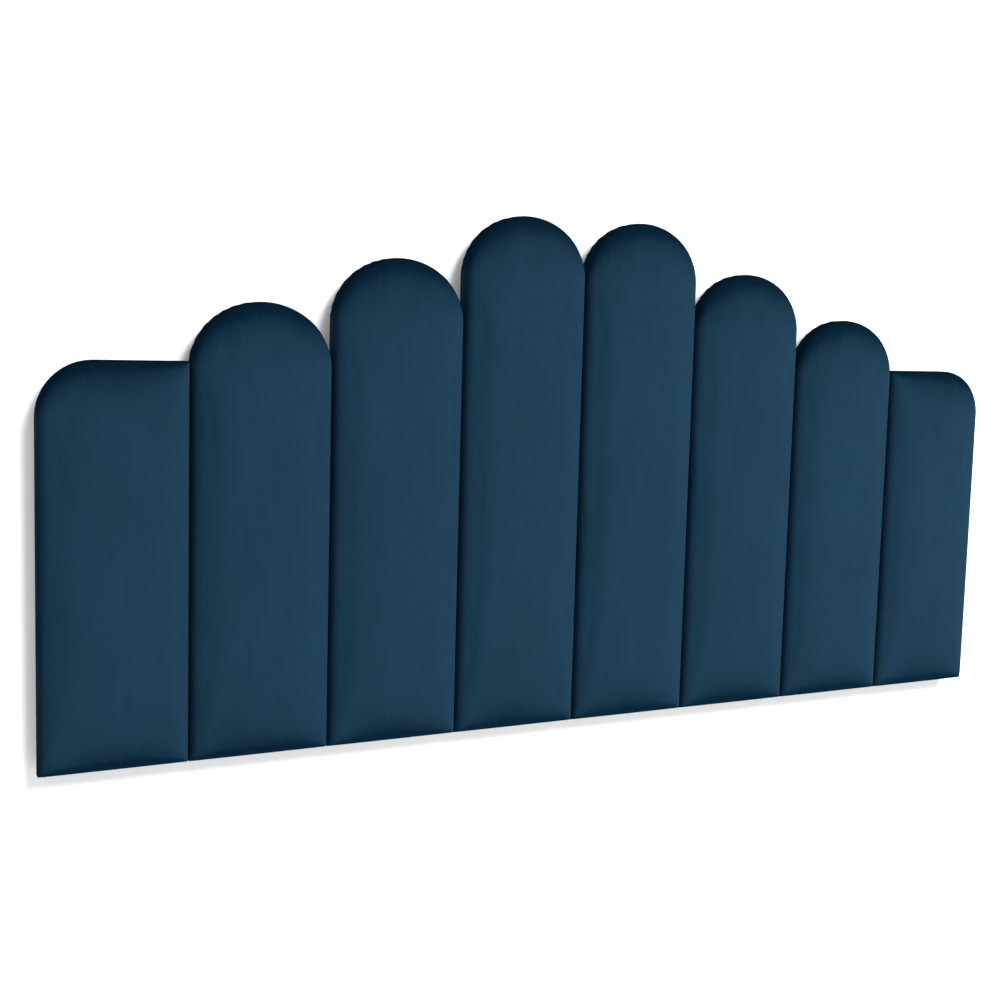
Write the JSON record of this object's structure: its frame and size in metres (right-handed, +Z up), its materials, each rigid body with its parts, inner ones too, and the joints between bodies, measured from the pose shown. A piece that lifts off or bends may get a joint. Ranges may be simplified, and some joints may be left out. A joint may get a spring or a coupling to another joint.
{
  "type": "upholstered headboard",
  "caption": "Wall-hung padded velvet headboard of separate arched panels side by side, rising to the middle, that lifts off a bevelled wall cleat.",
  "frame": {"origin": "on the wall plane, midway along the wall cleat's row of screw holes, on the headboard's centre line", "axes": "+X along the wall to the right as seen from the front, +Y into the wall, +Z up; the padded face looks along -Y"},
  "size_m": [1.598, 0.0565, 0.759],
  "materials": {
    "velvet": "short-pile velvet, deep teal blue, vertical nap",
    "plywood": "raw poplar plywood",
    "timber": "planed pine",
    "foam": "open-cell upholstery foam",
    "dust_cover": "black spun non-woven",
    "felt": "pressed wool felt",
    "zinc": "bright zinc plate",
    "staple_wire": "galvanised wire"
  },
  "bodies": {
    "wall": {"wall_cleat": "timber"},
    "headboard": {"panel_1_board": "plywood", "panel_1_foam": "foam", "panel_1_cover": "velvet", "panel_1_dust_cover": "dust_cover", "panel_2_board": "plywood", "panel_2_foam": "foam", "panel_2_cover": "velvet", "panel_2_dust_cover": "dust_cover", "panel_3_board": "plywood", "panel_3_foam": "foam", "panel_3_cover": "velvet", "panel_3_dust_cover": "dust_cover", "panel_4_board": "plywood", "panel_4_foam": "foam", "panel_4_cover": "velvet", "panel_4_dust_cover": "dust_cover", "panel_5_board": "plywood", "panel_5_foam": "foam", "panel_5_cover": "velvet", "panel_5_dust_cover": "dust_cover", "panel_6_board": "plywood", "panel_6_foam": "foam", "panel_6_cover": "velvet", "panel_6_dust_cover": "dust_cover", "panel_7_board": "plywood", "panel_7_foam": "foam", "panel_7_cover": "velvet", "panel_7_dust_cover": "dust_cover", "panel_8_board": "plywood", "panel_8_foam": "foam", "panel_8_cover": "velvet", "panel_8_dust_cover": "dust_cover", "hanging_cleat": "timber", "crown_batten": "timber", "lower_batten": "timber", "felt_pads": "felt", "panel_screws": "zinc", "cover_staples": "staple_wire", "dust_cover_staples": "staple_wire"}
  },
  "joints": [
    {"name": "lift_off", "type": "slide", "parent": "wall", "child": "headboard", "axis": [0, -0.7071, 0.7071], "range_m": [0, 0.06]}
  ]
}
